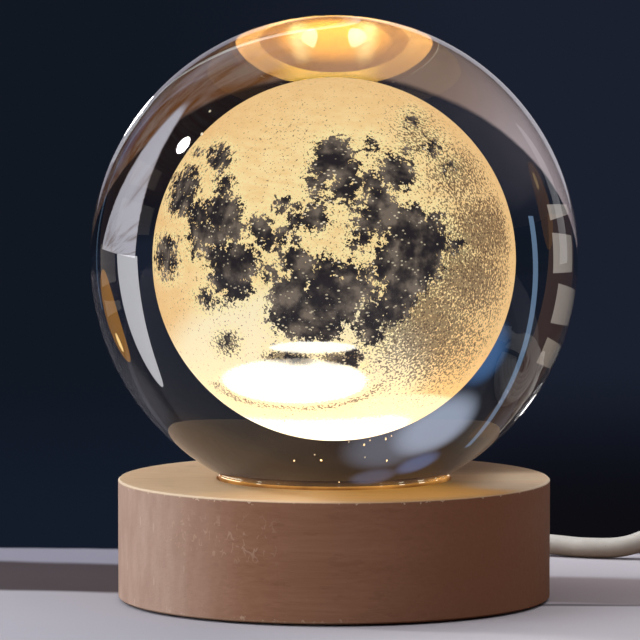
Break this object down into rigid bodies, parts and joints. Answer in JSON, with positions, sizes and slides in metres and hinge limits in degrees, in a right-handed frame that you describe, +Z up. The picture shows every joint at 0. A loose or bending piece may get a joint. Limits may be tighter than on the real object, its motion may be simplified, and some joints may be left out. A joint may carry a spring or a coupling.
{
  "type": "crystal ball lamp",
  "caption": "Crystal ball with an engraved moon inside, resting on a round wooden base that lights it from below, with a cable, inline switch and plug.",
  "frame": {"origin": "centre of the underside of the base, on the surface that the lamp stands on", "axes": "+Z up through the middle of the base and ball, -Y to the front, +X to the right, cable out at +Y"},
  "size_m": [0.1688, 0.1148, 0.096],
  "materials": {
    "wood": "fine sanded pale wood, unlacquered",
    "pad_foam": "matt soft foam",
    "clear_silicone": "clear soft ring, smooth",
    "crystal": "polished clear crystal glass",
    "engraving": "frosted laser-engraved layer, lit warm",
    "board_white": "white solder mask",
    "led_white": "moulded white package",
    "led_phosphor": "yellow filling, glows warm white",
    "tinned": "tinned solder and legs",
    "resistor_black": "black chip with tinned ends",
    "zinc_steel": "zinc plated screws",
    "wire_red": "red insulation",
    "wire_black": "black insulation",
    "cord_white": "white soft cable jacket, satin",
    "crimp_metal": "crimped ring",
    "switch_white": "white moulded shell, fine texture",
    "button_white": "white smooth button",
    "contact_brass": "stamped contacts",
    "spring_steel": "spring wire",
    "core_black": "black moulded core",
    "tie_black": "soft cable tie",
    "plug_white": "white overmoulded grip",
    "plug_steel": "nickel plated sheet",
    "tongue_white": "white moulded tongue",
    "gold": "gold flashed contacts"
  },
  "bodies": {
    "base": {"wooden_base": "wood", "anti_slip_pad": "pad_foam", "seat_ring": "clear_silicone", "led_board": "board_white", "led_bodies": "led_white", "led_windows": "led_phosphor", "led_legs": "tinned", "chip_resistors": "resistor_black", "board_screws": "zinc_steel", "solder_joints": "tinned", "positive_lead": "wire_red", "negative_lead": "wire_black", "cord_inner_end": "cord_white", "cord_stop": "crimp_metal", "cable_grommet": "cord_white", "cord_to_switch": "cord_white", "switch_lower_shell": "switch_white", "switch_upper_shell": "switch_white", "switch_spring": "spring_steel", "switch_core": "core_black", "switch_terminals": "contact_brass", "switch_wires": "wire_red", "switch_screws": "zinc_steel", "cord_to_coil": "cord_white", "cord_coil": "cord_white", "cord_tail": "cord_white", "coil_tie": "tie_black", "plug_grip": "plug_white", "plug_shell": "plug_steel", "plug_tongue": "tongue_white", "plug_contacts": "gold"},
    "ball": {"crystal_ball": "crystal", "engraved_moon": "engraving"},
    "button": {"switch_button": "button_white", "switch_bridge": "contact_brass"}
  },
  "joints": [
    {"name": "ball_lift", "type": "slide", "parent": "base", "child": "ball", "axis": [0, 0, 1], "range_m": [0, 0.06]},
    {"name": "button_press", "type": "slide", "parent": "base", "child": "button", "axis": [0, 0, -1], "range_m": [0, 0.0015], "stiffness_N_per_m": 300, "springref_m": -0.001, "deforming": ["switch_spring"]}
  ]
}
